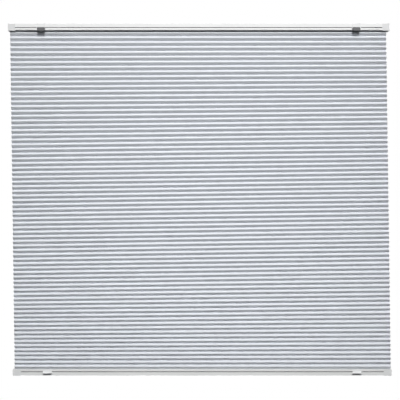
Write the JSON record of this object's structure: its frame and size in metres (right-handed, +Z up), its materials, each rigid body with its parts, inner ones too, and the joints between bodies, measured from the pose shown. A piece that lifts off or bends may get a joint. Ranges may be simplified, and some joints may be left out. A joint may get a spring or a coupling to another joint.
{
  "type": "pleated blind",
  "caption": "Cordless honeycomb pleated blind, lowered, with head rail, brackets with locking levers, weighted bottom rail and pull tabs.",
  "frame": {"origin": "centre of the four ceiling screw holes, on the brackets' top faces", "axes": "+X along the width, to the right as seen from the room; +Z up; -Y towards the room"},
  "size_m": [1.408, 0.0493, 1.2924],
  "materials": {
    "rail": "white powder coat, satin",
    "bottom_rail": "white powder coat, satin",
    "cap": "fine satin moulded plastic",
    "bracket": "white paint over sheet steel",
    "lever": "dark grey moulded plastic",
    "carrier": "dark extruded plastic",
    "bottom_carrier": "white extruded plastic",
    "fabric": "cool white non-woven polyester, pleated",
    "cord": "white braided polyester",
    "motor_plastic": "moulded plastic",
    "gear_plastic": "natural acetal",
    "steel": "bright steel",
    "tab": "clear to milky moulded plastic"
  },
  "bodies": {
    "head": {"head_rail": "rail", "head_cap_left": "cap", "head_cap_right": "cap", "bracket_left": "bracket", "bracket_right": "bracket", "lever_pin_left": "steel", "lever_pin_right": "steel", "lever_spring_left": "steel", "lever_spring_right": "steel", "carrier_top": "carrier", "motor_base": "motor_plastic", "motor_cover": "motor_plastic", "motor_screws": "steel", "spring_ribbon": "steel", "cord_cradle_left": "motor_plastic", "cord_cradle_right": "motor_plastic", "pulley_axle_left": "steel", "pulley_axle_right": "steel", "pleated_fabric": "fabric", "lift_cord_left": "cord", "lift_cord_right": "cord"},
    "bottom": {"bottom_rail": "bottom_rail", "bottom_cap_left": "cap", "bottom_cap_right": "cap", "carrier_bottom": "bottom_carrier", "weight_bar": "steel", "cord_anchor_left": "motor_plastic", "cord_anchor_right": "motor_plastic", "pull_tab_left": "tab", "pull_tab_right": "tab"},
    "spool_left": {"cord_spool_left": "gear_plastic"},
    "idler": {"idler_gear": "gear_plastic"},
    "storage": {"storage_drum": "gear_plastic"},
    "output": {"output_drum": "gear_plastic"},
    "spool_right": {"cord_spool_right": "gear_plastic"},
    "pulley_left": {"pulley_left": "gear_plastic"},
    "pulley_right": {"pulley_right": "gear_plastic"},
    "lever_left": {"bracket_lever_left": "lever"},
    "lever_right": {"bracket_lever_right": "lever"}
  },
  "joints": [
    {"name": "rail_lift", "type": "slide", "parent": "head", "child": "bottom", "axis": [0, 0, 1], "range_m": [0, 1.16142], "deforming": ["pleated_fabric", "lift_cord_left", "lift_cord_right"]},
    {"name": "spool_left_turn", "type": "hinge", "parent": "head", "child": "spool_left", "pos_m": [-0.04072, 0, -0.01], "axis": [0, 0, -1], "range_deg": [0, 6655]},
    {"name": "idler_turn", "type": "hinge", "parent": "head", "child": "idler", "pos_m": [-0.01358, 0, -0.01], "axis": [0, 0, 1], "range_deg": [0, 6655]},
    {"name": "storage_turn", "type": "hinge", "parent": "head", "child": "storage", "pos_m": [-0.01358, 0, -0.01], "axis": [0, 0, -1], "range_deg": [0, 6655]},
    {"name": "output_turn", "type": "hinge", "parent": "head", "child": "output", "pos_m": [0.01358, 0, -0.01], "axis": [0, 0, -1], "range_deg": [0, 6655]},
    {"name": "spool_right_turn", "type": "hinge", "parent": "head", "child": "spool_right", "pos_m": [0.04072, 0, -0.01], "axis": [0, 0, 1], "range_deg": [0, 6655]},
    {"name": "pulley_left_turn", "type": "hinge", "parent": "head", "child": "pulley_left", "pos_m": [-0.5644, 0, -0.0112], "axis": [0, 1, 0], "range_deg": [0, 18485]},
    {"name": "pulley_right_turn", "type": "hinge", "parent": "head", "child": "pulley_right", "pos_m": [0.5644, 0, -0.0112], "axis": [0, -1, 0], "range_deg": [0, 18485]},
    {"name": "lever_left_swing", "type": "hinge", "parent": "head", "child": "lever_left", "pos_m": [-0.578, -0.0214, -0.0171], "axis": [-1, 0, 0], "range_deg": [0, 40], "stiffness_Nm_per_rad": 0.02, "springref_deg": -28.65},
    {"name": "lever_right_swing", "type": "hinge", "parent": "head", "child": "lever_right", "pos_m": [0.578, -0.0214, -0.0171], "axis": [-1, 0, 0], "range_deg": [0, 40], "stiffness_Nm_per_rad": 0.02, "springref_deg": -28.65}
  ],
  "couplings": [
    {"joint": "spool_left_turn", "follows": "rail_lift", "rad_per_m": 100},
    {"joint": "idler_turn", "follows": "rail_lift", "rad_per_m": 100},
    {"joint": "storage_turn", "follows": "rail_lift", "rad_per_m": 100},
    {"joint": "output_turn", "follows": "rail_lift", "rad_per_m": 100},
    {"joint": "spool_right_turn", "follows": "rail_lift", "rad_per_m": 100},
    {"joint": "pulley_left_turn", "follows": "rail_lift", "rad_per_m": 277.78},
    {"joint": "pulley_right_turn", "follows": "rail_lift", "rad_per_m": 277.78}
  ]
}
